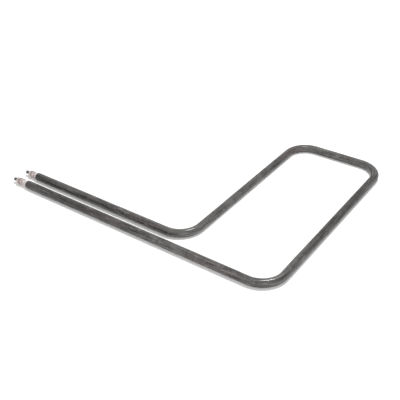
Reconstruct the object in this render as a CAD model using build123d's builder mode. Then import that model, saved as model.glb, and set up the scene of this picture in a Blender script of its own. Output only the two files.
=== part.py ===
from build123d import *
from math import cos, radians, tan
import os

# Tubular heating element: one bent steel sheath packed with magnesia around a resistance coil,
# with an insulated screw terminal in the mouth of each leg. Millimetres throughout.
#
# +X runs from the terminals towards the loop, +Y from the near leg towards the far side of the
# loop, +Z up. The origin is on the surface the element lies on, below the middle of its outline.

# --- driving dimensions: the sheath ---------------------------------------------------------
sheath_diameter = 8.0
sheath_wall = 0.8
mouth_rounding = 0.3
long_leg = 283.4  # near mouth to the axis of the outer cross run
loop_reach = 223.0  # near leg's axis to the axis of the far side run
loop_width = 96.5  # axis to axis of the two cross runs
leg_pitch = 16.2  # axis to axis of the two legs
bend_radius = 22.3  # of the tube's axis, the same in all four bends
mouth_stagger = 2.8  # the far leg's tube was cut this much longer

# --- driving dimensions: inside the sheath --------------------------------------------------
packing_clearance = 0.05  # between the fill and what it is packed against
coil_diameter = 3.2  # outside of the winding
cold_pin_diameter = 2.5
cold_length = 55.0  # unheated length, near mouth to the end of the coil
seal_length = 5.0

# --- driving dimensions: the terminals ------------------------------------------------------
stud_diameter = 3.5
stud_chamfer = 0.5
stud_exposed = 5.5  # beyond the outer nut
weld_depth = 3.0  # stud to cold pin joint, behind the near mouth
bushing_clearance = 0.1  # bushing in the sheath
bushing_bore_clearance = 0.1  # stud in the bushing
bushing_nose = 6.5  # bushing beyond the near mouth
bushing_depth = 6.0  # bushing behind the near mouth
bushing_chamfer = 0.5
nut_across_flats = 6.0
nut_height = 2.8
nut_face_share = 0.95  # round bearing face over the width across flats
nut_bore_clearance = 0.02  # stud thread in the nut
washer_diameter = 7.0
washer_thickness = 0.7
washer_bore_clearance = 0.15  # stud in either washer
lock_washer_diameter = 6.7
lock_washer_thickness = 0.8
lock_washer_slit = 0.6
lock_washer_slit_slant = 25.0  # degrees off the washer's axis
nut_turns = {"near": (12.0, 44.0), "far": (48.0, 17.0)}  # degrees, inner and outer nut
lock_washer_turns = {"near": 70.0, "far": 25.0}

# --- sizes that follow ----------------------------------------------------------------------
sheath_radius = sheath_diameter / 2
bore_radius = sheath_radius - sheath_wall
stud_radius = stud_diameter / 2
pin_radius = cold_pin_diameter / 2
coil_radius = coil_diameter / 2
fill_radius = bore_radius - packing_clearance
bushing_radius = bore_radius - bushing_clearance
bushing_bore_radius = stud_radius + bushing_bore_clearance
washer_bore_radius = stud_radius + washer_bore_clearance
nut_corner_radius = nut_across_flats / (2 * cos(radians(30)))
nut_face_radius = nut_face_share * nut_across_flats / 2
nut_chamfer_height = (nut_corner_radius - nut_face_radius) * tan(radians(30))
seal_end = bushing_depth + seal_length  # behind the near mouth, where the magnesia starts

# stack on the stud, measured outwards from the near mouth
inner_washer_at = bushing_nose
inner_nut_at = inner_washer_at + washer_thickness
outer_washer_at = inner_nut_at + nut_height
lock_washer_at = outer_washer_at + washer_thickness
outer_nut_at = lock_washer_at + lock_washer_thickness
stud_reach = outer_nut_at + nut_height + stud_exposed

# the widest round piece is what the element rests on
axis_height = max(sheath_diameter, washer_diameter) / 2
overall_length = long_leg + sheath_radius + stud_reach
mouth_x = stud_reach - overall_length / 2
outer_run_x = mouth_x + long_leg
inner_run_x = outer_run_x - loop_width
near_leg_y = -loop_reach / 2
far_leg_y = near_leg_y + leg_pitch
side_run_y = near_leg_y + loop_reach
mouths = {"near": mouth_x, "far": mouth_x - mouth_stagger}
leg_axes = {"near": near_leg_y, "far": far_leg_y}


def run_points(near_x, far_x):
    """Corners of the tube's axis, from near_x on the near leg round the loop to far_x on the far leg."""
    return [
        (near_x, near_leg_y, axis_height),
        (outer_run_x, near_leg_y, axis_height),
        (outer_run_x, side_run_y, axis_height),
        (inner_run_x, side_run_y, axis_height),
        (inner_run_x, far_leg_y, axis_height),
        (far_x, far_leg_y, axis_height),
    ]


def inward(side, depth):
    """Section plane on a leg's axis, facing into the element, at a depth behind the near mouth."""
    return Plane(origin=(mouth_x + depth, leg_axes[side], axis_height), z_dir=(1, 0, 0))


def outward(side, reach):
    """Section plane on a leg's axis, facing out of the mouth, at a reach beyond the near mouth."""
    return Plane(origin=(mouth_x - reach, leg_axes[side], axis_height), z_dir=(-1, 0, 0))


def lengthwise(side, reach):
    """Plane holding a leg's axis, its x out of the mouth and its y up, from a reach beyond the near mouth."""
    origin = (mouth_x - reach, leg_axes[side], axis_height)
    return Plane(origin=origin, x_dir=(-1, 0, 0), z_dir=(0, 1, 0))


def leg_axis(side):
    """Axis of a leg, pointing out of its mouth."""
    return Axis((mouth_x, leg_axes[side], axis_height), (-1, 0, 0))


os.makedirs("parts", exist_ok=True)

# --- sheath: one tube, bent four times, its mouths lightly rounded ---------------------------
with BuildPart() as sheath:
    with BuildLine() as sheath_axis:
        FilletPolyline(*run_points(mouths["near"], mouths["far"]), radius=bend_radius)
    with BuildSketch(inward("near", 0)):
        Circle(sheath_radius)
        Circle(bore_radius, mode=Mode.SUBTRACT)
    sweep(path=sheath_axis.wires()[0])
    mouth_edges = sheath.edges().filter_by(
        lambda edge: edge.geom_type == GeomType.CIRCLE
        and abs(edge.radius - sheath_radius) < 1e-4
        and edge.center().X < mouth_x + mouth_rounding
    )
    fillet(mouth_edges, min(mouth_rounding, 0.4 * sheath_wall))
sheath.part.label = "sheath"
export_step(sheath.part, "parts/sheath.step")

# --- magnesia: fills the sheath between the end seals, around the winding and the cold pins ---
with BuildPart() as magnesia_fill:
    with BuildLine() as fill_axis:
        FilletPolyline(*run_points(mouth_x + seal_end, mouth_x + seal_end), radius=bend_radius)
    with BuildSketch(inward("near", seal_end)):
        Circle(fill_radius)
    sweep(path=fill_axis.wires()[0])
    with BuildLine() as channel_axis:
        FilletPolyline(*run_points(mouth_x + cold_length, mouth_x + cold_length), radius=bend_radius)
    with BuildSketch(inward("near", cold_length)):
        Circle(coil_radius + packing_clearance)
    sweep(path=channel_axis.wires()[0], mode=Mode.SUBTRACT)
    for side in mouths:
        with BuildSketch(inward(side, seal_end)):
            Circle(pin_radius + packing_clearance)
        extrude(amount=cold_length - seal_end, mode=Mode.SUBTRACT)
magnesia_fill.part.label = "magnesia_fill"
export_step(magnesia_fill.part, "parts/magnesia_fill.step")

# --- resistance coil: the envelope of its turns, from one cold pin to the other ---------------
with BuildPart() as resistance_coil:
    with BuildLine() as coil_axis:
        FilletPolyline(*run_points(mouth_x + cold_length, mouth_x + cold_length), radius=bend_radius)
    with BuildSketch(inward("near", cold_length)):
        Circle(coil_radius)
    sweep(path=coil_axis.wires()[0])
resistance_coil.part.label = "resistance_coil"
export_step(resistance_coil.part, "parts/resistance_coil.step")

# --- one terminal in the mouth of each leg ---------------------------------------------------
for side in mouths:
    with BuildPart() as cold_pin:
        with BuildSketch(inward(side, weld_depth)):
            Circle(pin_radius)
        extrude(amount=cold_length - weld_depth)
    cold_pin.part.label = f"{side}_cold_pin"
    export_step(cold_pin.part, f"parts/{side}_cold_pin.step")

    # resin plug that keeps damp out of the magnesia
    with BuildPart() as end_seal:
        with BuildSketch(inward(side, bushing_depth)):
            Circle(fill_radius)
            Circle(pin_radius + packing_clearance, mode=Mode.SUBTRACT)
        extrude(amount=seal_length)
    end_seal.part.label = f"{side}_end_seal"
    export_step(end_seal.part, f"parts/{side}_end_seal.step")

    # ceramic bushing: a turned sleeve with both outer edges chamfered
    with BuildPart() as bushing:
        with BuildSketch(lengthwise(side, -bushing_depth)):
            bushing_length = bushing_depth + bushing_nose
            shoulder = bushing_radius - bushing_chamfer
            with BuildLine():
                Polyline(
                    (0, bushing_bore_radius),
                    (0, shoulder),
                    (bushing_chamfer, bushing_radius),
                    (bushing_length - bushing_chamfer, bushing_radius),
                    (bushing_length, shoulder),
                    (bushing_length, bushing_bore_radius),
                    close=True,
                )
            make_face()
        revolve(axis=leg_axis(side))
    bushing.part.label = f"{side}_bushing"
    export_step(bushing.part, f"parts/{side}_bushing.step")

    # threaded stud, butt welded to the cold pin inside the bushing
    with BuildPart() as stud:
        with BuildSketch(outward(side, -weld_depth)):
            Circle(stud_radius)
        extrude(amount=weld_depth + stud_reach)
        chamfer(stud.faces().sort_by(Axis.X)[0].edges(), stud_chamfer)
    stud.part.label = f"{side}_stud"
    export_step(stud.part, f"parts/{side}_stud.step")

    # flat washers under the inner nut and under the spring washer
    for place, washer_at in (("inner", inner_washer_at), ("outer", outer_washer_at)):
        with BuildPart() as washer:
            with BuildSketch(outward(side, washer_at)):
                Circle(washer_diameter / 2)
                Circle(washer_bore_radius, mode=Mode.SUBTRACT)
            extrude(amount=washer_thickness)
        washer.part.label = f"{side}_{place}_washer"
        export_step(washer.part, f"parts/{side}_{place}_washer.step")

    # spring washer, tightened flat: a ring with one slanted slit
    with BuildPart() as lock_washer:
        with BuildSketch(outward(side, lock_washer_at)):
            Circle(lock_washer_diameter / 2)
            Circle(washer_bore_radius, mode=Mode.SUBTRACT)
        extrude(amount=lock_washer_thickness)
        middle = outward(side, lock_washer_at + lock_washer_thickness / 2)
        towards_slit = Vector(0, 1, 0).rotate(Axis.X, lock_washer_turns[side])
        with BuildSketch(Plane(origin=middle.origin, x_dir=(1, 0, 0), z_dir=towards_slit)):
            Rectangle(4 * lock_washer_thickness, lock_washer_slit, rotation=lock_washer_slit_slant)
        extrude(amount=lock_washer_diameter, mode=Mode.SUBTRACT)
    lock_washer.part.label = f"{side}_lock_washer"
    export_step(lock_washer.part, f"parts/{side}_lock_washer.step")

    # hexagon nuts, chamfered at thirty degrees on both faces
    for place, nut_at, turn in (
        ("inner", inner_nut_at, nut_turns[side][0]),
        ("outer", outer_nut_at, nut_turns[side][1]),
    ):
        with BuildPart() as nut:
            with BuildSketch(outward(side, nut_at)):
                RegularPolygon(nut_across_flats / 2, 6, major_radius=False, rotation=turn)
            extrude(amount=nut_height)
            with BuildSketch(lengthwise(side, nut_at)):
                with BuildLine():
                    Polyline(
                        (0, 0),
                        (0, nut_face_radius),
                        (nut_chamfer_height, nut_corner_radius),
                        (nut_height - nut_chamfer_height, nut_corner_radius),
                        (nut_height, nut_face_radius),
                        (nut_height, 0),
                        close=True,
                    )
                make_face()
            revolve(axis=leg_axis(side), mode=Mode.INTERSECT)
            with BuildSketch(outward(side, nut_at)):
                Circle(stud_radius + nut_bore_clearance)
            extrude(amount=nut_height, mode=Mode.SUBTRACT)
        nut.part.label = f"{side}_{place}_nut"
        export_step(nut.part, f"parts/{side}_{place}_nut.step")
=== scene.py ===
"""Dress the tubular heating element: finishes, fine meshes, floor, light and camera.

Lengths are in metres unless a name or comment says millimetres. The element lies flat, +Z up.
"""

from __future__ import annotations

import logging
import math
from dataclasses import dataclass
from enum import Enum
from typing import Any, Iterator

import bpy
import numpy as np
from mathutils import Matrix, Vector


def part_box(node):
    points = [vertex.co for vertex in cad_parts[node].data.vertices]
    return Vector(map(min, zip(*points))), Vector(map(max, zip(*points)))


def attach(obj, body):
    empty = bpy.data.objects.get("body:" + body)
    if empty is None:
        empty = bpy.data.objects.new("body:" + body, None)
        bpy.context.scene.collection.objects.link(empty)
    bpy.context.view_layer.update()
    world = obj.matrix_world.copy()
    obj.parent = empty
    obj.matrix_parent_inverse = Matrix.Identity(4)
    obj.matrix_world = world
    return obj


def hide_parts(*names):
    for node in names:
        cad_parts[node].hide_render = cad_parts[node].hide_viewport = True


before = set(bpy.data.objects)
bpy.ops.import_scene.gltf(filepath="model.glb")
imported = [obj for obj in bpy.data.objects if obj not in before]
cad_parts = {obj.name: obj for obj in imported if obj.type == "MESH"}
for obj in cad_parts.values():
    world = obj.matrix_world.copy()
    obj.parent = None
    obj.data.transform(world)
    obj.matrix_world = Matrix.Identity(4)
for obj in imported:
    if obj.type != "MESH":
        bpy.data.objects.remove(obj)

LOG = logging.getLogger("heating_element")
BODY = "root"
MM = 0.001
MM_PER_METRE = 1000.0
TURN = 2.0 * math.pi
QUARTER = TURN / 4.0
UP = np.array([0.0, 0.0, 1.0])
WHITE = (1.0, 1.0, 1.0, 1.0)
TOUCHING = 1e-9  # places closer than this count as the same

# The Mix node repeats its socket names, so its sockets are told apart by number.
SHARE = 0
NUMBER_A, NUMBER_B, NUMBER_RESULT = 2, 3, 0
COLOUR_A, COLOUR_B, COLOUR_RESULT = 6, 7, 2


class Side(Enum):
    """Which leg a terminal belongs to."""

    NEAR = "near"
    FAR = "far"


class Slot(Enum):
    """Names of the record's material slots."""

    SHEATH = "oxidised_steel"
    WIRE = "resistance_wire"
    BUSHING = "bushing_ceramic"
    PLATED = "nickel_plate"
    SPRING = "spring_steel"
    STUD = "stud_steel"


class Mark(Enum):
    """What each noise on the sheath draws."""

    LINES = "lines left by the drawing"
    BLOTCHES = "mottle of the oxide"
    BANDS = "bands across the tube"
    PATCHES = "violet-brown patches"
    SCRATCHES = "pale scratches"
    NICKS = "pale nicks"


# --- helpers ------------------------------------------------------------------------------------


def linear(hex_colour: str) -> tuple[float, float, float, float]:
    """Turn an sRGB hex colour into linear red, green, blue and an alpha of one.

    Args:
        hex_colour: Six hex digits after a hash sign.

    Returns:
        Linear colour with alpha, as a shader socket takes it.
    """
    digits = hex_colour.lstrip("#")
    channels = [int(digits[i : i + 2], 16) / 255.0 for i in (0, 2, 4)]
    straight = [c / 12.92 if c <= 0.04045 else ((c + 0.055) / 1.055) ** 2.4 for c in channels]
    return (straight[0], straight[1], straight[2], 1.0)


def add_node(
    tree: bpy.types.NodeTree, kind: str, inputs: dict | None = None, **settings: Any
) -> bpy.types.Node:
    """Add one shader node with its settings, and set or link its inputs.

    Args:
        tree: Node tree that gets the node.
        kind: Blender's name of the node type.
        inputs: Socket name or number to a plain value or to another node's output socket.
        **settings: Properties of the node itself.

    Returns:
        The new node.
    """
    node = tree.nodes.new(kind)
    for key, value in settings.items():
        setattr(node, key, value)
    for key, value in (inputs or {}).items():
        if isinstance(value, bpy.types.NodeSocket):
            tree.links.new(value, node.inputs[key])
        else:
            node.inputs[key].default_value = value
    return node


def new_material(name: str) -> tuple[bpy.types.Material, bpy.types.NodeTree, bpy.types.Node]:
    """Make a material with one principled shader wired to its output.

    Args:
        name: The material's name.

    Returns:
        The material, its node tree and the principled shader.
    """
    material = bpy.data.materials.new(name)
    material.use_nodes = True
    tree = material.node_tree
    tree.nodes.clear()
    shader = add_node(tree, "ShaderNodeBsdfPrincipled")
    add_node(tree, "ShaderNodeOutputMaterial", {"Surface": shader.outputs[0]})
    return material, tree, shader


def grid_quads(rows: int, columns: int, loop_rows: bool) -> np.ndarray:
    """Number the quads of a grid whose columns close into rings.

    Each quad runs one column on, one row on, and back, so with rows along the direction of travel
    and columns turning from sideways to up, every face looks away from the middle of the ring.

    Args:
        rows: Number of rings.
        columns: Number of points in a ring.
        loop_rows: Whether the last ring is joined to the first.

    Returns:
        Vertex numbers, four to a quad.
    """
    row = np.arange(rows if loop_rows else rows - 1)[:, None]
    column = np.arange(columns)[None, :]
    next_row = (row + 1) % rows
    next_column = (column + 1) % columns
    corners = [
        row * columns + column,
        row * columns + next_column,
        next_row * columns + next_column,
        next_row * columns + column,
    ]
    return np.stack(np.broadcast_arrays(*corners), axis=-1).reshape(-1, 4)


def end_fans(rows: int, columns: int) -> np.ndarray:
    """Close both ends of an open grid with triangles to two pole points.

    Args:
        rows: Number of rings; the poles are the two vertices after the grid, first end first.
        columns: Number of points in a ring.

    Returns:
        Vertex numbers, three to a triangle.
    """
    here = np.arange(columns)
    ahead = (here + 1) % columns
    first_pole, last_pole = rows * columns, rows * columns + 1
    base = (rows - 1) * columns
    first = np.stack([np.full(columns, first_pole), ahead, here], axis=-1)
    last = np.stack([np.full(columns, last_pole), base + here, base + ahead], axis=-1)
    return np.concatenate([first, last])


def make_piece(
    name: str,
    points: np.ndarray,
    faces: list[list[int]],
    finish: bpy.types.Material,
    stands_for: str,
    smooth_degrees: float = 35.0,
) -> bpy.types.Object:
    """Put arrays into a mesh object that rides on the element and stands for a CAD node.

    Args:
        name: Name of the piece.
        points: Vertex places, three to a row.
        faces: Vertex numbers of each face.
        finish: The material.
        stands_for: The CAD node that the piece replaces.
        smooth_degrees: Edges that turn by more than this stay sharp.

    Returns:
        The new object.
    """
    mesh = bpy.data.meshes.new(name)
    mesh.from_pydata(points.tolist(), [], faces)
    mesh.update()
    mesh.set_sharp_from_angle(angle=math.radians(smooth_degrees))
    mesh.materials.append(finish)
    piece = bpy.data.objects.new(name, mesh)
    bpy.context.scene.collection.objects.link(piece)
    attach(piece, BODY)
    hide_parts(stands_for)
    return piece


# --- the element's plan, read from the frame ----------------------------------------------------


@dataclass(frozen=True)
class Stations:
    """Points along the tube's axis.

    Attributes:
        place: Where each point is.
        ahead: Direction of travel there.
        sideways: Level direction to the left of it.
        bend: Zero on a run, and the bend's turn in a bend.
    """

    place: np.ndarray
    ahead: np.ndarray
    sideways: np.ndarray
    bend: np.ndarray


@dataclass(frozen=True)
class Stretch:
    """One straight run or one bend of the axis.

    Attributes:
        begins: Distance along the route at its start.
        length: Its length along the axis.
        start: The x and y of its start.
        heading: Direction of travel at its start, as an angle from +X.
        turn: +1 for a bend to the left, -1 for one to the right and 0 for a run.
    """

    begins: float
    length: float
    start: tuple[float, float]
    heading: float
    turn: int


@dataclass
class TubeRoute:
    """The axis of the bent tube, from the near leg's mouth round the loop to the far leg's mouth.

    Attributes:
        near_start: How far behind the near mouth the route starts.
        far_stop: How far behind the far mouth it ends.
        bend_radius: Radius of the axis in all four bends.
        loop_width: Distance between the axes of the two cross runs.
        mouth_stagger: How much further out the far mouth is than the near one.
    """

    near_start: float = 0.0
    far_stop: float = 0.0
    bend_radius: float = 22.3 * MM
    loop_width: float = 96.5 * MM
    mouth_stagger: float = 2.8 * MM

    def __post_init__(self) -> None:
        """Read the plan's sizes from the frame and divide the route into stretches."""
        low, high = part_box("sheath")
        self.radius = (high.z - low.z) / 2.0
        self.height = (high.z + low.z) / 2.0
        stud_low, stud_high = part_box("far_stud")
        near_y = low.y + self.radius
        far_y = (stud_low.y + stud_high.y) / 2.0
        outer_x = high.x - self.radius
        inner_x = outer_x - self.loop_width
        side_y = high.y - self.radius
        self.leg_y = {Side.NEAR: near_y, Side.FAR: far_y}
        corners = [
            (low.x + self.mouth_stagger + self.near_start, near_y),
            (outer_x, near_y),
            (outer_x, side_y),
            (inner_x, side_y),
            (inner_x, far_y),
            (low.x + self.far_stop, far_y),
        ]
        self.stretches = list(self._stretches(corners))
        self.length = self.stretches[-1].begins + self.stretches[-1].length

    def _stretches(self, corners: list[tuple[float, float]]) -> Iterator[Stretch]:
        """Yield the runs and quarter bends between the corners, in order of travel.

        Args:
            corners: Where the straight runs' axes meet, with both ends.

        Yields:
            Runs shortened by the bend radius at each corner, with a quarter bend between them.
        """
        radius = self.bend_radius
        travelled = 0.0
        points = [Vector(corner) for corner in corners]
        legs = [b - a for a, b in zip(points, points[1:])]
        headings = [math.atan2(leg.y, leg.x) for leg in legs]
        for index, leg in enumerate(legs):
            trim_start = radius if index else 0.0
            trim_end = radius if index < len(legs) - 1 else 0.0
            run = leg.length - trim_start - trim_end
            start = points[index] + leg.normalized() * trim_start
            yield Stretch(travelled, run, (start.x, start.y), headings[index], turn=0)
            travelled += run
            if index < len(legs) - 1:
                cross = leg.x * legs[index + 1].y - leg.y * legs[index + 1].x
                turn = 1 if cross > 0 else -1
                bend_start = start + leg.normalized() * run
                bend = radius * QUARTER
                yield Stretch(travelled, bend, (bend_start.x, bend_start.y), headings[index], turn)
                travelled += bend

    def at(self, distance: np.ndarray) -> Stations:
        """Work out places and directions at distances along the route.

        On a run the place moves on along the heading. In a bend of curvature k the heading grows by
        k times the distance, and the place is the integral of the heading's cosine and sine.

        Args:
            distance: Distances from the route's start.

        Returns:
            The stations, with the signed turn of the bend that each lies in.
        """
        place = np.zeros((len(distance), 3))
        heading = np.zeros(len(distance))
        bend = np.zeros(len(distance))
        for stretch in self.stretches:
            here = distance >= stretch.begins - TOUCHING
            t = distance[here] - stretch.begins
            if stretch.turn:
                k = stretch.turn / self.bend_radius
                angle = stretch.heading + k * t
                place[here, 0] = stretch.start[0] + (np.sin(angle) - math.sin(stretch.heading)) / k
                place[here, 1] = stretch.start[1] - (np.cos(angle) - math.cos(stretch.heading)) / k
            else:
                angle = np.full(len(t), stretch.heading)
                place[here, 0] = stretch.start[0] + math.cos(stretch.heading) * t
                place[here, 1] = stretch.start[1] + math.sin(stretch.heading) * t
            heading[here] = angle
            bend[here] = stretch.turn
        place[:, 2] = self.height
        zero = np.zeros(len(distance))
        ahead = np.stack([np.cos(heading), np.sin(heading), zero], axis=-1)
        sideways = np.stack([-np.sin(heading), np.cos(heading), zero], axis=-1)
        return Stations(place, ahead, sideways, bend)

    def spaced(self, straight_step: float, bend_step: float) -> np.ndarray:
        """Give distances along the route, closer together in the bends.

        Args:
            straight_step: Spacing on the runs.
            bend_step: Spacing in the bends.

        Returns:
            Rising distances from the start to the end of the route.
        """
        spans = []
        for stretch in self.stretches:
            step = bend_step if stretch.turn else straight_step
            count = max(2, math.ceil(stretch.length / step))
            spans.append(stretch.begins + stretch.length * np.arange(count) / count)
        return np.concatenate([*spans, [self.length]])

    def bend_middles(self) -> list[float]:
        """Distances along the route at the middle of each bend."""
        return [bend.begins + bend.length / 2.0 for bend in self.stretches if bend.turn]


# --- finishes -----------------------------------------------------------------------------------


@dataclass(frozen=True)
class Grain:
    """One noise on the sheath, stretched along the tube or across it.

    Attributes:
        mark: What it draws.
        length_mm: A grain's size along the tube.
        width_mm: Its size across the tube.
        detail: How many finer noises are added.
        finer_share: How strong each finer noise is beside the one before.
    """

    mark: Mark
    length_mm: float
    width_mm: float
    detail: float
    finer_share: float


@dataclass(frozen=True)
class Overlay:
    """A colour laid over the oxide where one noise is high.

    Attributes:
        mark: The noise.
        starts: Value of the noise at which the colour starts to show.
        full: Value of the noise at which it shows most.
        most: Its largest share.
        colour: Its sRGB hex colour.
    """

    mark: Mark
    starts: float
    full: float
    most: float
    colour: str


@dataclass(frozen=True)
class OxidisedSheath:
    """Drawn steel sheath, annealed until it carries a dull grey-black oxide.

    The drawing leaves fine lines along the tube, handling and the bending rolls leave short pale
    scratches and nicks, and the oxide is mottled: the eye sees a dark satin grey that is never quite
    even, with a thin broken glint on the bends. The oxide's colour is set lighter or darker by
    stretches along the tube, and the oxide turns violet-brown in patches. The oxide hides the metal,
    so the shader is not metallic, and its coat stands for the smooth skin that the rolls leave.

    Attributes:
        dark: Colour of the densest oxide.
        light: Colour of the thinnest oxide.
        grains: The noises.
        tone_shares: Noises mixed into the blotches, one after the other, with the share of each.
        tone_range: Values of the mixed noise that give the dark and the light colour.
        overlays: Colours laid over the oxide.
        rough_range: Values of the mixed noise between which the roughness falls.
        rough: Roughness of the dark and of the light oxide.
        gloss: Strength of the oxide's own mirroring.
        glint: How much of the smooth skin shows, on the runs and on the burnished bends.
        glint_range: Values of the draw lines' noise between which the skin grows to whole.
        glint_least: Share of the skin that the draw lines leave at their deepest.
        glint_rough: Roughness of the skin.
        relief: Depth of the draw lines and the mottle.
        relief_share: Share of the mottle in it.
        relief_strength: How much of that depth shows.
    """

    dark: str = "#302e2d"
    light: str = "#6d6b69"
    # Real draw lines are a tenth as wide; they are drawn as coarse as it takes for them to show.
    grains: tuple[Grain, ...] = (
        Grain(Mark.LINES, length_mm=34.0, width_mm=0.9, detail=2.0, finer_share=0.55),
        Grain(Mark.BLOTCHES, length_mm=14.0, width_mm=4.0, detail=4.0, finer_share=0.6),
        Grain(Mark.BANDS, length_mm=2.2, width_mm=16.0, detail=2.0, finer_share=0.6),
        Grain(Mark.PATCHES, length_mm=70.0, width_mm=14.0, detail=2.0, finer_share=0.5),
        Grain(Mark.SCRATCHES, length_mm=9.0, width_mm=0.7, detail=1.0, finer_share=0.4),
        Grain(Mark.NICKS, length_mm=1.0, width_mm=3.0, detail=1.0, finer_share=0.4),
    )
    tone_shares: tuple[tuple[Mark, float], ...] = ((Mark.LINES, 0.6), (Mark.BANDS, 0.16))
    tone_range: tuple[float, float] = (0.4, 0.6)
    overlays: tuple[Overlay, ...] = (
        Overlay(Mark.PATCHES, starts=0.56, full=0.75, most=0.4, colour="#665758"),
        Overlay(Mark.SCRATCHES, starts=0.66, full=0.74, most=0.55, colour="#b4b0ac"),
        Overlay(Mark.NICKS, starts=0.7, full=0.76, most=0.4, colour="#a8a4a0"),
    )
    rough_range: tuple[float, float] = (0.38, 0.62)
    rough: tuple[float, float] = (0.5, 0.3)
    gloss: float = 0.2
    glint: tuple[float, float] = (0.3, 1.0)
    glint_range: tuple[float, float] = (0.4, 0.6)
    glint_least: float = 0.4
    glint_rough: float = 0.13
    relief: float = 0.06 * MM
    relief_share: float = 0.5
    relief_strength: float = 0.5

    def build(self) -> bpy.types.Material:
        """Make the material on the tube's own coordinates: along, sideways and up, in metres.

        Returns:
            The material.
        """
        material, tree, shader = new_material("oxidised_drawn_steel")
        noise = self.noises(tree)
        tone = noise[Mark.BLOTCHES]
        for mark, share in self.tone_shares:
            mixed = {SHARE: share, NUMBER_A: tone, NUMBER_B: noise[mark]}
            tone = add_node(tree, "ShaderNodeMix", mixed, data_type="FLOAT").outputs[NUMBER_RESULT]
        tree.links.new(self.colour(tree, noise, tone), shader.inputs["Base Color"])
        low, high = self.rough_range
        fall = {"Value": tone, "From Min": low, "From Max": high}
        fall |= {"To Min": self.rough[0], "To Max": self.rough[1]}
        tree.links.new(add_node(tree, "ShaderNodeMapRange", fall).outputs[0], shader.inputs["Roughness"])
        shader.inputs["Specular IOR Level"].default_value = self.gloss
        tree.links.new(self.skin(tree, noise[Mark.LINES]), shader.inputs["Coat Weight"])
        shader.inputs["Coat Roughness"].default_value = self.glint_rough
        mixed = {SHARE: self.relief_share, NUMBER_A: noise[Mark.LINES], NUMBER_B: tone}
        height = add_node(tree, "ShaderNodeMix", mixed, data_type="FLOAT").outputs[NUMBER_RESULT]
        relief = {"Strength": self.relief_strength, "Distance": self.relief, "Height": height}
        tree.links.new(add_node(tree, "ShaderNodeBump", relief).outputs[0], shader.inputs["Normal"])
        return material

    def noises(self, tree: bpy.types.NodeTree) -> dict[Mark, bpy.types.NodeSocket]:
        """Add the noises, each scaled from its grain's real size.

        Args:
            tree: The material's nodes.

        Returns:
            Each noise's value, from 0 to 1 and mostly near a half.
        """
        tube = add_node(tree, "ShaderNodeAttribute", attribute_name="tube_place").outputs["Vector"]
        noise = {}
        for grain in self.grains:
            across = MM_PER_METRE / grain.width_mm
            scale = {"Vector": tube, "Scale": (MM_PER_METRE / grain.length_mm, across, across)}
            scaled = add_node(tree, "ShaderNodeMapping", scale).outputs[0]
            look = {"Scale": 1.0, "Detail": grain.detail, "Roughness": grain.finer_share}
            noise[grain.mark] = add_node(tree, "ShaderNodeTexNoise", {"Vector": scaled, **look}).outputs[0]
        return noise

    def colour(
        self, tree: bpy.types.NodeTree, noise: dict[Mark, bpy.types.NodeSocket], tone: bpy.types.NodeSocket
    ) -> bpy.types.NodeSocket:
        """Mix the oxide's colour, lay the marks over it and set it lighter or darker by stretches.

        Args:
            tree: The material's nodes.
            noise: Value of each noise.
            tone: Value of the mixed noise.

        Returns:
            The colour.
        """
        spread = {"Value": tone, "From Min": self.tone_range[0], "From Max": self.tone_range[1]}
        share = add_node(tree, "ShaderNodeMapRange", spread).outputs[0]
        mixed = {SHARE: share, COLOUR_A: linear(self.dark), COLOUR_B: linear(self.light)}
        oxide = add_node(tree, "ShaderNodeMix", mixed, data_type="RGBA").outputs[COLOUR_RESULT]
        for over in self.overlays:
            spread = {"Value": noise[over.mark], "From Min": over.starts, "From Max": over.full}
            share = add_node(tree, "ShaderNodeMapRange", {**spread, "To Max": over.most}).outputs[0]
            mixed = {SHARE: share, COLOUR_A: oxide, COLOUR_B: linear(over.colour)}
            oxide = add_node(tree, "ShaderNodeMix", mixed, data_type="RGBA").outputs[COLOUR_RESULT]
        stretch_tone = add_node(tree, "ShaderNodeAttribute", attribute_name="stretch_tone").outputs["Fac"]
        mixed = {SHARE: 1.0, COLOUR_A: oxide, COLOUR_B: stretch_tone}
        toned = add_node(tree, "ShaderNodeMix", mixed, data_type="RGBA", blend_type="MULTIPLY")
        return toned.outputs[COLOUR_RESULT]

    def skin(self, tree: bpy.types.NodeTree, lines: bpy.types.NodeSocket) -> bpy.types.NodeSocket:
        """Work out how much of the smooth skin shows: more where burnished, and broken by draw lines.

        Args:
            tree: The material's nodes.
            lines: Value of the draw lines' noise.

        Returns:
            The skin's weight.
        """
        burnish = add_node(tree, "ShaderNodeAttribute", attribute_name="burnish").outputs["Fac"]
        mixed = {SHARE: burnish, NUMBER_A: self.glint[0], NUMBER_B: self.glint[1]}
        glint = add_node(tree, "ShaderNodeMix", mixed, data_type="FLOAT").outputs[NUMBER_RESULT]
        low, high = self.glint_range
        grows = {"Value": lines, "From Min": low, "From Max": high, "To Min": self.glint_least}
        broken = add_node(tree, "ShaderNodeMapRange", grows).outputs[0]
        return add_node(tree, "ShaderNodeMath", {0: glint, 1: broken}, operation="MULTIPLY").outputs[0]


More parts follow.
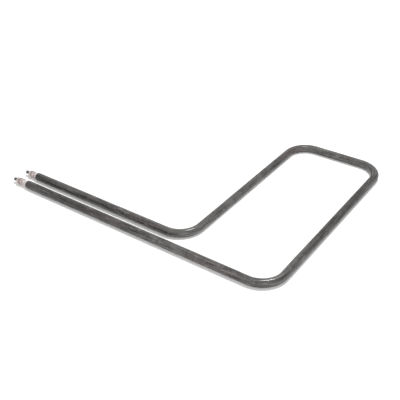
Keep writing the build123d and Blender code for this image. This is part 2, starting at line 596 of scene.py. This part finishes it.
@dataclass(frozen=True)
class PlainFinish:
    """A finish of one material with a fine mottle in colour and roughness.

    Attributes:
        name: The material's common name.
        low: Darker colour.
        high: Lighter colour.
        grain_mm: Size of the mottle.
        metallic: One for bare metal and zero for ceramic, powder and resin.
        rough: Lowest and highest roughness.
        relief_mm: Depth of the bump.
        relief_strength: How much of that depth shows.
        detail: How many finer noises the mottle has.
        finer_share: How strong each finer noise is beside the one before.
        colour_range: Values of the mottle that give the darker and the lighter colour.
        rough_range: Values of the mottle that give the lowest and the highest roughness.
    """

    name: str
    low: str
    high: str
    grain_mm: float
    metallic: float
    rough: tuple[float, float]
    relief_mm: float = 0.01
    relief_strength: float = 0.4
    detail: float = 4.0
    finer_share: float = 0.6
    colour_range: tuple[float, float] = (0.35, 0.65)
    rough_range: tuple[float, float] = (0.3, 0.7)

    def build(self) -> bpy.types.Material:
        """Make the material on object coordinates.

        Returns:
            The material.
        """
        material, tree, shader = new_material(self.name)
        place = add_node(tree, "ShaderNodeTexCoord").outputs["Object"]
        look = {"Scale": MM_PER_METRE / self.grain_mm, "Detail": self.detail, "Roughness": self.finer_share}
        mottle = add_node(tree, "ShaderNodeTexNoise", {"Vector": place, **look}).outputs[0]
        low, high = self.colour_range
        spread = {"Value": mottle, "From Min": low, "From Max": high}
        share = add_node(tree, "ShaderNodeMapRange", spread).outputs[0]
        mixed = {SHARE: share, COLOUR_A: linear(self.low), COLOUR_B: linear(self.high)}
        colour = add_node(tree, "ShaderNodeMix", mixed, data_type="RGBA").outputs[COLOUR_RESULT]
        tree.links.new(colour, shader.inputs["Base Color"])
        low, high = self.rough_range
        rise = {"Value": mottle, "From Min": low, "From Max": high}
        rise |= {"To Min": self.rough[0], "To Max": self.rough[1]}
        tree.links.new(add_node(tree, "ShaderNodeMapRange", rise).outputs[0], shader.inputs["Roughness"])
        shader.inputs["Metallic"].default_value = self.metallic
        relief = {"Strength": self.relief_strength, "Distance": self.relief_mm * MM, "Height": mottle}
        tree.links.new(add_node(tree, "ShaderNodeBump", relief).outputs[0], shader.inputs["Normal"])
        return material


# The mottles are drawn coarser than the real grain of these surfaces, which is too fine to show.

# Nickel over pressed steel: bright and slightly warm, dulled by handling.
NICKEL_PLATE = PlainFinish(
    "nickel_plated_steel", "#998b89", "#e0d6d4", grain_mm=1.7, metallic=1.0, rough=(0.18, 0.32)
)
# Rolled thread left bare: dark, with a dull sheen on the crests.
STUD_STEEL = PlainFinish(
    "rolled_thread_steel", "#565250", "#757170", grain_mm=0.7, metallic=0.8, rough=(0.36, 0.52)
)
# Tempered spring steel: brown-black from its heat treatment.
SPRING_STEEL = PlainFinish(
    "tempered_spring_steel", "#3d3435", "#5a5052", grain_mm=0.6, metallic=0.9, rough=(0.3, 0.45)
)
# Steatite, pressed and fired unglazed: off-white, with a chalky break to the light.
STEATITE = PlainFinish(
    "unglazed_steatite", "#b9afab", "#dbd3d0", grain_mm=1.6, metallic=0.0, rough=(0.5, 0.68), relief_mm=0.02
)
# Magnesium oxide powder, compacted by the drawing of the tube: chalk white and quite dull.
MAGNESIA = PlainFinish(
    "compacted_magnesia", "#dcd8cc", "#f1eee6", grain_mm=0.5, metallic=0.0, rough=(0.85, 0.97), relief_mm=0.03
)
# Nickel-chromium wire, bright from the die.
NICKEL_CHROMIUM = PlainFinish(
    "nickel_chromium_wire", "#8f8c88", "#aaa7a2", grain_mm=0.4, metallic=1.0, rough=(0.3, 0.42)
)
# Cold drawn mild steel rod: plain grey with a soft sheen.
PIN_STEEL = PlainFinish(
    "drawn_mild_steel", "#8b8886", "#a5a2a0", grain_mm=0.8, metallic=1.0, rough=(0.34, 0.48)
)
# Silicone resin, cast and cured: brick red and slightly rubbery.
SEAL_RESIN = PlainFinish(
    "silicone_resin", "#7d3527", "#94463a", grain_mm=1.5, metallic=0.0, rough=(0.45, 0.6)
)


# --- sub-assemblies -----------------------------------------------------------------------------


@dataclass
class Sheath:
    """The bent steel tube, open at both mouths.

    Attributes:
        route: The tube's axis.
        wall: Wall thickness.
        rim: Radius of the rounding on the mouths' outer edge.
        rim_rings: Number of rings in that rounding.
        columns: Number of points in a ring.
        straight_step: Spacing of the rings on the runs.
        bend_step: Spacing of the rings in the bends.
        bore_coarseness: How many times further apart the bore's rings are.
        flattening: Share by which the section is narrower in a bend.
        fade_rings: Number of rings over which a bend's flattening and burnish come in.
        burnish: How much the rolls have burnished each bend, in order from the near mouth.
        stretch_tone: Distance from the near mouth, and the factor on the oxide's colour there.
    """

    route: TubeRoute
    wall: float = 0.8 * MM
    rim: float = 0.3 * MM
    rim_rings: int = 5
    columns: int = 48
    straight_step: float = 3.0 * MM
    bend_step: float = 1.0 * MM
    bore_coarseness: float = 4.0
    flattening: float = 0.012
    fade_rings: int = 9
    burnish: tuple[float, ...] = (0.6, 0.2, 0.0, 1.0)
    # Factors on the oxide's colour along the tube, which make it lighter or darker by stretches.
    stretch_tone: tuple[tuple[float, float], ...] = (
        (0.0, 0.53), (0.09, 0.56), (0.16, 0.9), (0.235, 1.15), (0.28, 0.75), (0.33, 0.65), (0.44, 0.39),
        (0.535, 1.0), (0.63, 0.56), (0.73, 0.95), (0.775, 0.65), (0.815, 1.0), (0.875, 0.8), (0.96, 0.5),
    )

    def rows(self) -> tuple[np.ndarray, np.ndarray]:
        """Walk once round the wall's section lengthwise: out over the tube, and back through its bore.

        The rounding at a mouth is a quarter circle: its distance from the end is the rim less the rim
        times the sine of its turn, and its radius falls short by the rim less the rim times the cosine.

        Returns:
            Distance along the route and radius, one of each for every ring.
        """
        radius, bore, end = self.route.radius, self.route.radius - self.wall, self.route.length
        turn = np.linspace(0.0, QUARTER, self.rim_rings)
        outside = self.route.spaced(self.straight_step, self.bend_step)
        outside = outside[(outside > self.rim) & (outside < end - self.rim)]
        coarse = self.bore_coarseness
        inside = self.route.spaced(coarse * self.straight_step, coarse * self.bend_step)[::-1]
        from_end = self.rim * (1.0 - np.sin(turn))
        rim_radius = radius - self.rim * (1.0 - np.cos(turn))
        distance = np.concatenate([from_end[::-1], outside, end - from_end, inside])
        outside_radius, bore_radius = np.full(len(outside), radius), np.full(len(inside), bore)
        size = np.concatenate([rim_radius[::-1], outside_radius, rim_radius, bore_radius])
        return distance, size

    def build(self) -> list[bpy.types.Object]:
        """Sweep the rings along the route.

        A point is the axis plus the radius times cosine of the angle sideways and sine of it up. In a
        bend the section is a little narrower sideways, as drawn tube becomes on the rolls.

        Returns:
            The piece, with its own coordinates, its colour factor by stretches and its burnish on its points.
        """
        distance, size = self.rows()
        stations = self.route.at(distance)
        angle = TURN * np.arange(self.columns) / self.columns - QUARTER
        fade = np.ones(self.fade_rings) / self.fade_rings
        bent = np.convolve(np.abs(stations.bend), fade, mode="same")
        width = size * (1.0 - self.flattening * bent)
        across = (width[:, None] * np.cos(angle))[..., None]
        upward = (size[:, None] * np.sin(angle))[..., None]
        points = stations.place[:, None] + across * stations.sideways[:, None] + upward * UP
        faces = grid_quads(len(distance), self.columns, loop_rows=True).tolist()
        finish = OxidisedSheath().build()
        piece = make_piece("sheath_tube", points.reshape(-1, 3), faces, finish, "sheath")
        along = np.broadcast_to(distance[:, None, None], across.shape)
        own = np.concatenate([along, across, upward], axis=-1).reshape(-1)
        tube_place = piece.data.attributes.new("tube_place", "FLOAT_VECTOR", "POINT")
        tube_place.data.foreach_set("vector", own.astype(np.float32))
        burnished = bent * np.interp(distance, self.route.bend_middles(), self.burnish)
        toned = np.interp(distance, *np.array(self.stretch_tone).T)
        for name, share in (("stretch_tone", toned), ("burnish", burnished)):
            held = piece.data.attributes.new(name, "FLOAT", "POINT")
            held.data.foreach_set("value", np.repeat(share, self.columns).astype(np.float32))
        return [piece]


def rounded_ring(
    start: float, stop: float, inner: float, outer: float, edge: float
) -> tuple[np.ndarray, np.ndarray]:
    """Section of a plain ring with its outer edges rounded, walked out, over and back through the bore.

    The outer edges are quarter circles, and the bore's edges are bevels half as wide.

    Args:
        start: The x of the face nearer the sheath.
        stop: The x of the outer face.
        inner: Bore radius.
        outer: Outside radius.
        edge: Radius of the outer edges.

    Returns:
        The x and the radius of each point of the section.
    """
    edge_points = 4
    way = math.copysign(1.0, stop - start)
    turn = np.linspace(0.0, QUARTER, edge_points)
    bevel = edge / 2.0
    x = [start + way * edge * (1.0 - np.cos(turn)), stop - way * edge * (1.0 - np.sin(turn))]
    r = [outer - edge * (1.0 - np.sin(turn)), outer - edge * (1.0 - np.cos(turn))]
    x.append(np.array([stop, stop - way * bevel, start + way * bevel, start]))
    r.append(np.array([inner + bevel, inner, inner, inner + bevel]))
    return np.concatenate(x), np.concatenate(r)


@dataclass(frozen=True)
class TerminalFinishes:
    """Materials that both terminals share.

    Attributes:
        bushing: For the ceramic sleeve.
        plated: For the nuts and flat washers.
        spring: For the spring washer.
        stud: For the threaded stud.
    """

    bushing: bpy.types.Material
    plated: bpy.types.Material
    spring: bpy.types.Material
    stud: bpy.types.Material


@dataclass
class Terminal:
    """Bushing, washers, nuts and threaded stud in the mouth of one leg.

    Attributes:
        route: Gives the leg's axis.
        side: The leg.
        finishes: The materials.
        inner_nut_turn: Degrees by which the inner nut is turned on its thread.
        outer_nut_turn: The same of the outer nut.
        slit_turn: Degrees from level to the spring washer's slit.
        columns: Number of points in a ring.
        thread_pitch: Pitch of the stud's thread.
        thread_depth: Depth of the thread.
        thread_slope: How steeply the thread's wave rises to its crest and falls.
        thread_root: Height by which the wave is lowered, which leaves its roots flat.
        thread_rings: Rings to a pitch.
        thread_smooth: Degrees that an edge of the thread may turn and stay smooth.
        stud_chamfer: Width of the cone at the stud's end.
        stud_plain_rings: Rings on the hidden part of the stud.
        washer_edge: Radius of the flat washers' outer edges.
        washer_bore: Bore radius of both kinds of washer.
        bushing_bore: Bore radius of the bushing.
        bushing_edge: Radius of the bushing's outer edges.
        nut_flats: Width of a nut across its flats.
        nut_corner_share: A nut's corners are blunted to this share of the sharp hexagon.
        nut_face_share: Round bearing face of a nut over its width across flats.
        nut_chamfer_degrees: Slope of the cone between that face and the corners.
        nut_chamfer_rings: Rings across a chamfer.
        nut_bore: Bore radius of a nut.
        nut_lead: Width of the bevel at either end of a nut's bore.
        lock_edge: Radius of the spring washer's outer edges.
        slit: Width of its slit.
        slit_lean: Degrees by which the slit leans off the axis.
    """

    route: TubeRoute
    side: Side
    finishes: TerminalFinishes
    inner_nut_turn: float
    outer_nut_turn: float
    slit_turn: float
    columns: int = 72
    thread_pitch: float = 0.6 * MM
    thread_depth: float = 0.33 * MM
    thread_slope: float = 2.6
    thread_root: float = 0.2
    thread_rings: int = 12
    thread_smooth: float = 50.0
    stud_chamfer: float = 0.5 * MM
    stud_plain_rings: int = 4
    washer_edge: float = 0.14 * MM
    washer_bore: float = 1.9 * MM
    bushing_bore: float = 1.85 * MM
    bushing_edge: float = 0.5 * MM
    nut_flats: float = 6.0 * MM
    nut_corner_share: float = 0.985
    nut_face_share: float = 0.95
    nut_chamfer_degrees: float = 30.0
    nut_chamfer_rings: int = 6
    nut_bore: float = 1.77 * MM
    nut_lead: float = 0.3 * MM
    lock_edge: float = 0.1 * MM
    slit: float = 0.6 * MM
    slit_lean: float = 25.0

    def build(self) -> list[bpy.types.Object]:
        """Build the stack from the sheath's mouth outwards, and the stud through it.

        Returns:
            The pieces.
        """
        return [
            self.bushing(),
            self.washer("inner_washer"),
            self.nut("inner_nut", self.inner_nut_turn),
            self.washer("outer_washer"),
            self.lock_washer(),
            self.nut("outer_nut", self.outer_nut_turn),
            self.stud(),
        ]

    def node(self, name: str) -> str:
        """Name of one of this leg's nodes."""
        return f"{self.side.value}_{name}"

    def extent(self, node: str) -> tuple[float, float, float]:
        """Read where a node starts and stops along the leg's axis, and how far it reaches from it.

        Args:
            node: The node's full name.

        Returns:
            The x of the end nearer the sheath, the x of the outer end, and the outside radius.
        """
        low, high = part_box(node)
        return high.x, low.x, (high.z - low.z) / 2.0

    def angles(self) -> np.ndarray:
        """Angles of a ring's points, from level towards up."""
        return TURN * np.arange(self.columns) / self.columns

    def place(self, along: np.ndarray, radius: np.ndarray, angle: np.ndarray) -> np.ndarray:
        """Put ring points in the element's frame.

        A point is the axis at its own x, plus the radius times cosine of the angle level and sine of
        it up. Travel is out of the mouth, towards -X, so level is -Y.

        Args:
            along: The x of each point.
            radius: Distance from the axis.
            angle: Angle of each point.

        Returns:
            Places, three to a point.
        """
        along, radius, angle = np.broadcast_arrays(along, radius, angle)
        y = self.route.leg_y[self.side] - radius * np.cos(angle)
        z = self.route.height + radius * np.sin(angle)
        return np.stack([along, y, z], axis=-1)

    def ring_piece(
        self, name: str, along: np.ndarray, radius: np.ndarray, finish: bpy.types.Material
    ) -> bpy.types.Object:
        """Make a closed ring from its section, which may change with the angle.

        Args:
            name: The node's name without its side.
            along: The x of each row.
            radius: Radius of each row, at one angle or at every one.
            finish: The material.

        Returns:
            The piece.
        """
        points = self.place(along[:, None], radius, self.angles()).reshape(-1, 3)
        faces = grid_quads(len(along), self.columns, loop_rows=True).tolist()
        node = self.node(name)
        return make_piece(f"{node}_piece", points, faces, finish, node)

    def bushing(self) -> bpy.types.Object:
        """Turn the ceramic sleeve.

        Returns:
            The piece.
        """
        start, stop, outer = self.extent(self.node("bushing"))
        along, radius = rounded_ring(start, stop, self.bushing_bore, outer, self.bushing_edge)
        return self.ring_piece("bushing", along, radius[:, None], self.finishes.bushing)

    def washer(self, name: str) -> bpy.types.Object:
        """Turn a flat washer with the rounded edge of a pressing.

        Args:
            name: The node's name without its side.

        Returns:
            The piece.
        """
        start, stop, outer = self.extent(self.node(name))
        along, radius = rounded_ring(start, stop, self.washer_bore, outer, self.washer_edge)
        return self.ring_piece(name, along, radius[:, None], self.finishes.plated)

    def nut(self, name: str, turn_degrees: float) -> bpy.types.Object:
        """Make a hexagon nut: each ring's radius is the smaller of the hexagon and the chamfer's cone.

        The hexagon's radius is half the width across flats over the cosine of the angle from the middle
        of the nearest flat. The cone starts at the round bearing face and widens into the body.

        Args:
            name: The node's name without its side.
            turn_degrees: How far the nut is turned on its thread.

        Returns:
            The piece.
        """
        start, stop, _ = self.extent(self.node(name))
        way = math.copysign(1.0, stop - start)
        height = abs(stop - start)
        flat = self.nut_flats / 2.0
        face = flat * self.nut_face_share
        sixth = TURN / 6.0
        slope = math.tan(math.radians(self.nut_chamfer_degrees))
        from_flat = np.mod(self.angles() - math.radians(turn_degrees), sixth) - sixth / 2.0
        hexagon = flat / np.cos(from_flat)
        hexagon = np.minimum(hexagon, self.nut_corner_share * flat / math.cos(sixth / 2.0))
        chamfer = (hexagon.max() - face) * slope
        rings = self.nut_chamfer_rings
        depth = np.concatenate([np.linspace(0.0, chamfer, rings), height - np.linspace(chamfer, 0.0, rings)])
        cone = face + np.minimum(depth, height - depth) / slope
        outside = np.minimum(hexagon[None, :], cone[:, None])
        lead, wide = self.nut_lead, self.nut_bore + self.nut_lead
        bore_depth = np.array([height, height - lead, lead, 0.0])
        bore = np.array([wide, self.nut_bore, self.nut_bore, wide])
        bore = np.repeat(bore[:, None], self.columns, axis=1)
        along = start + way * np.concatenate([depth, bore_depth])
        radius = np.concatenate([outside, bore])
        return self.ring_piece(name, along, radius, self.finishes.plated)

    def lock_washer(self) -> bpy.types.Object:
        """Bend the spring washer: its section is carried nearly once round, and leaves a slanted slit.

        The angle of a point is its share of the way round, plus a lean in proportion to its depth.

        Returns:
            The piece.
        """
        node = self.node("lock_washer")
        start, stop, outer = self.extent(node)
        section_x, section_r = rounded_ring(start, stop, self.washer_bore, outer, self.lock_edge)
        lean = math.tan(math.radians(self.slit_lean)) * (section_x - (start + stop) / 2.0) / outer
        gap = self.slit / outer
        share = np.linspace(gap / 2.0, TURN - gap / 2.0, self.columns)
        angle = math.radians(self.slit_turn) + share[None, :] + lean[:, None]
        points = self.place(section_x[:, None], section_r[:, None], angle).reshape(-1, 3)
        rows = len(section_x)
        quads = grid_quads(rows, self.columns, loop_rows=True).reshape(rows, self.columns, 4)[:, :-1]
        first = (np.arange(rows) * self.columns).tolist()
        last = (np.arange(rows)[::-1] * self.columns + self.columns - 1).tolist()
        faces = quads.reshape(-1, 4).tolist() + [first, last]
        return make_piece(f"{node}_piece", points, faces, self.finishes.spring, node)

    def stud(self) -> bpy.types.Object:
        """Roll the stud's thread: the radius falls and rises once per pitch, and once round is one pitch on.

        The fall is a triangle wave with its crests and roots cut flat, and it fades into the end's cone.

        Returns:
            The piece.
        """
        node = self.node("stud")
        start, stop, major = self.extent(node)
        outer_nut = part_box(self.node("outer_nut"))[0].x
        rows = math.ceil((outer_nut - stop) / (self.thread_pitch / self.thread_rings))
        plain = np.linspace(start, outer_nut + self.thread_pitch, self.stud_plain_rings)
        threaded = np.linspace(outer_nut, stop, rows)
        along = np.concatenate([plain, threaded])
        phase = np.mod(along[:, None] / self.thread_pitch + self.angles()[None, :] / TURN, 1.0)
        wave = np.clip(self.thread_slope * np.abs(phase - 0.5) - self.thread_root, 0.0, 1.0)
        cut = (along <= outer_nut + TOUCHING).astype(float)[:, None]
        tip = major - self.stud_chamfer
        cone = tip + (along - stop)[:, None]
        radius = np.minimum(major - cut * self.thread_depth * (1.0 - wave), np.maximum(cone, tip))
        points = self.place(along[:, None], radius, self.angles()).reshape(-1, 3)
        poles = self.place(np.array([start, stop]), np.zeros(2), np.zeros(2))
        quads = grid_quads(len(along), self.columns, loop_rows=False)
        faces = quads.tolist() + end_fans(len(along), self.columns).tolist()
        points = np.concatenate([points, poles])
        finish = self.finishes.stud
        return make_piece(f"{node}_thread", points, faces, finish, node, self.thread_smooth)


@dataclass
class ResistanceCoil:
    """The helical winding inside the magnesia, from one cold pin to the other.

    Attributes:
        cold_length: Distance from the near mouth to the winding.
        wire: Wire diameter.
        pitch: Spacing of the turns.
        turn_points: Points to a turn.
        wire_points: Points round the wire.
        wire_smooth: Degrees that an edge of the wire may turn and stay smooth.
    """

    cold_length: float = 55.0 * MM
    wire: float = 0.5 * MM
    pitch: float = 1.6 * MM
    turn_points: int = 14
    wire_points: int = 6
    wire_smooth: float = 70.0

    def build(self) -> list[bpy.types.Object]:
        """Wind the wire: its middle line circles the axis once per pitch, and a small ring follows it.

        The ring stands square to the direction of the middle line, which is the difference of
        neighbouring points, and its first direction points away from the tube's axis.

        Returns:
            The winding's piece.
        """
        route = TubeRoute(self.cold_length, self.cold_length + TubeRoute.mouth_stagger)
        low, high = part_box("resistance_coil")
        radius = (high.z - low.z) / 2.0 - self.wire / 2.0
        count = int(route.length / self.pitch * self.turn_points)
        distance = np.linspace(self.wire / 2.0, route.length - self.wire / 2.0, count)
        stations = route.at(distance)
        angle = TURN * distance / self.pitch
        away = np.cos(angle)[:, None] * stations.sideways + np.sin(angle)[:, None] * UP
        line = stations.place + radius * away
        ahead = np.gradient(line, axis=0)
        ahead /= np.linalg.norm(ahead, axis=1, keepdims=True)
        level = np.cross(ahead, away)
        level /= np.linalg.norm(level, axis=1, keepdims=True)
        ring = TURN * np.arange(self.wire_points) / self.wire_points
        offset = np.cos(ring)[None, :, None] * away[:, None] + np.sin(ring)[None, :, None] * level[:, None]
        points = (line[:, None] + offset * self.wire / 2.0).reshape(-1, 3)
        points = np.concatenate([points, line[[0, -1]]])
        quads = grid_quads(len(line), self.wire_points, loop_rows=False)
        faces = quads.tolist() + end_fans(len(line), self.wire_points).tolist()
        finish, name, node = NICKEL_CHROMIUM.build(), "resistance_winding", "resistance_coil"
        return [make_piece(name, points, faces, finish, node, self.wire_smooth)]


@dataclass
class SealedCore:
    """What stays as it is in the frame: the magnesia, the cold pins and the end seals.

    Attributes:
        pairs: Nodes that each leg has one of, with their finish.
    """

    pairs: tuple[tuple[str, PlainFinish], ...] = (("cold_pin", PIN_STEEL), ("end_seal", SEAL_RESIN))

    def build(self) -> list[bpy.types.Object]:
        """Give each node its own finish.

        Returns:
            The nodes' objects.
        """
        finishes = {"magnesia_fill": MAGNESIA.build()}
        for name, finish in self.pairs:
            material = finish.build()
            finishes |= {f"{side.value}_{name}": material for side in Side}
        for node, material in finishes.items():
            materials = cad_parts[node].data.materials
            materials.clear()
            materials.append(material)
        return [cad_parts[node] for node in finishes]


# --- stage --------------------------------------------------------------------------------------


@dataclass(frozen=True)
class Lamp:
    """A round soft lamp aimed at the element.

    Attributes:
        name: Its name.
        place: Where it hangs.
        width: Its diameter.
        watts: Its power.
    """

    name: str
    place: tuple[float, float, float]
    width: float
    watts: float


@dataclass
class Studio:
    """Plain white floor and backdrop, soft light from above and behind, and the camera.

    Attributes:
        floor_half: Half the floor's width.
        floor_colour: The floor's colour.
        floor_lift: Light of its own with which the floor is seen near the element.
        fade: Distances between which that light grows to full white, as the lamps' light falls off.
        sky: Light of the even surroundings.
        lamps: The key above and behind, and a low weak one in front.
        focal_px: Focal length in pixels of the square frame.
        frame_px: Width of that frame.
        sensor_mm: Width of the sensor.
        near_clip: Distance in front of the camera from which things are seen.
        azimuth: Degrees by which the camera is moved round to the right, from where it looks along +Y.
        elevation: Degrees by which it looks down.
        roll: Its lean about its own line of sight, in radians.
        distance: Distance from the camera to the target.
        target: Point at the middle of the frame.
    """

    floor_half: float = 6.0
    floor_colour: str = "#ffffff"
    floor_lift: float = 0.13
    fade: tuple[float, float] = (0.5, 1.6)
    sky: float = 0.5
    lamps: tuple[Lamp, ...] = (
        Lamp("key_softbox", place=(0.1, 0.33, 1.35), width=0.35, watts=13.5),
        Lamp("front_softbox", place=(1.14, -1.14, 0.55), width=1.2, watts=8.5),
    )
    focal_px: float = 654.7
    frame_px: float = 400.0
    sensor_mm: float = 36.0
    near_clip: float = 0.01
    azimuth: float = 36.36
    elevation: float = 33.79
    roll: float = -0.024
    distance: float = 0.6396
    target: tuple[float, float, float] = (0.02345, -0.03259, -0.00024)

    def by_ray(
        self, tree: bpy.types.NodeTree, seen: float | bpy.types.NodeSocket, other: float
    ) -> bpy.types.NodeSocket:
        """Choose a strength by the kind of ray.

        Args:
            tree: The nodes that use it.
            seen: Strength for camera, glossy and transmission rays.
            other: Strength for the rest, which light the element.

        Returns:
            The strength.
        """
        path = add_node(tree, "ShaderNodeLightPath").outputs
        share = path["Is Camera Ray"]
        for name in ("Is Glossy Ray", "Is Transmission Ray"):
            either = {0: share, 1: path[name]}
            share = add_node(tree, "ShaderNodeMath", either, operation="MAXIMUM").outputs[0]
        mixed = {SHARE: share, NUMBER_A: other, NUMBER_B: seen}
        return add_node(tree, "ShaderNodeMix", mixed, data_type="FLOAT").outputs[NUMBER_RESULT]

    def build_floor(self) -> None:
        """Lay the floor: matt and pale, with a little light of its own where it is seen directly."""
        half = self.floor_half
        corners = [(-half, -half, 0.0), (half, -half, 0.0), (half, half, 0.0), (-half, half, 0.0)]
        mesh = bpy.data.meshes.new("floor")
        mesh.from_pydata(corners, [], [(0, 1, 2, 3)])
        material = bpy.data.materials.new("matt_white_floor")
        material.use_nodes = True
        tree = material.node_tree
        tree.nodes.clear()
        place = add_node(tree, "ShaderNodeTexCoord").outputs["Object"]
        away = add_node(tree, "ShaderNodeVectorMath", {0: place}, operation="LENGTH").outputs["Value"]
        low, high = self.fade
        grows = {"Value": away, "From Min": low, "From Max": high, "To Min": self.floor_lift}
        lift = self.by_ray(tree, add_node(tree, "ShaderNodeMapRange", grows).outputs[0], 0.0)
        matt = add_node(tree, "ShaderNodeBsdfDiffuse", {"Color": linear(self.floor_colour)}).outputs[0]
        glow = add_node(tree, "ShaderNodeEmission", {"Color": WHITE, "Strength": lift}).outputs[0]
        both = add_node(tree, "ShaderNodeAddShader", {0: matt, 1: glow}).outputs[0]
        add_node(tree, "ShaderNodeOutputMaterial", {"Surface": both})
        mesh.materials.append(material)
        floor = bpy.data.objects.new("floor", mesh)
        bpy.context.scene.collection.objects.link(floor)

    def build_sky(self) -> None:
        """Surround the scene with even white, at full white only where it is seen directly."""
        world = bpy.data.worlds.new("even_white")
        bpy.context.scene.world = world
        world.use_nodes = True
        tree = world.node_tree
        tree.nodes.clear()
        even = {"Color": WHITE, "Strength": self.by_ray(tree, 1.0, self.sky)}
        glow = add_node(tree, "ShaderNodeBackground", even).outputs[0]
        add_node(tree, "ShaderNodeOutputWorld", {"Surface": glow})

    def build_lamps(self) -> None:
        """Hang the lamps, aimed at the element."""
        for lamp in self.lamps:
            light = bpy.data.lights.new(lamp.name, "AREA")
            light.shape = "DISK"
            light.size = lamp.width
            light.energy = lamp.watts
            holder = bpy.data.objects.new(lamp.name, light)
            place = Vector(lamp.place)
            aim = (Vector(self.target) - place).to_track_quat("-Z", "Y")
            holder.matrix_world = Matrix.LocRotScale(place, aim, None)
            bpy.context.scene.collection.objects.link(holder)

    def build_camera(self) -> None:
        """Set the camera by its azimuth, elevation, distance and roll about the target."""
        lens = bpy.data.cameras.new("camera")
        lens.sensor_width = self.sensor_mm
        lens.lens = self.focal_px / self.frame_px * self.sensor_mm
        lens.clip_start = self.near_clip
        camera = bpy.data.objects.new("camera", lens)
        around, above = math.radians(self.azimuth), math.radians(self.elevation)
        reach = math.cos(above)
        back = Vector((math.sin(around) * reach, -math.cos(around) * reach, math.sin(above)))
        level = Vector(UP).cross(back).normalized()
        upright = back.cross(level)
        right = math.cos(self.roll) * level + math.sin(self.roll) * upright
        top = -math.sin(self.roll) * level + math.cos(self.roll) * upright
        turn = Matrix((right, top, back)).transposed().to_4x4()
        camera.matrix_world = Matrix.Translation(Vector(self.target) + back * self.distance) @ turn
        bpy.context.scene.collection.objects.link(camera)
        bpy.context.scene.camera = camera

    def build(self) -> None:
        """Build the floor, the surroundings, the lamps and the camera."""
        self.build_floor()
        self.build_sky()
        self.build_lamps()
        self.build_camera()
        bpy.context.scene.view_settings.view_transform = "Standard"


def main() -> None:
    """Build the element's sub-assemblies in order, then its stage."""
    logging.basicConfig(level=logging.INFO, format="%(name)s: %(message)s")
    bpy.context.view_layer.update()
    route = TubeRoute()
    nickel, stud = NICKEL_PLATE.build(), STUD_STEEL.build()
    spring, steatite = SPRING_STEEL.build(), STEATITE.build()
    finishes = TerminalFinishes(bushing=steatite, plated=nickel, spring=spring, stud=stud)
    assemblies = (
        Sheath(route),
        Terminal(route, Side.NEAR, finishes, inner_nut_turn=12.0, outer_nut_turn=44.0, slit_turn=70.0),
        Terminal(route, Side.FAR, finishes, inner_nut_turn=48.0, outer_nut_turn=17.0, slit_turn=25.0),
        ResistanceCoil(),
        SealedCore(),
    )
    for assembly in assemblies:
        for piece in assembly.build():
            LOG.info("%s: %d faces", piece.name, len(piece.data.polygons))
    Studio().build()


if __name__ == "__main__":
    main()
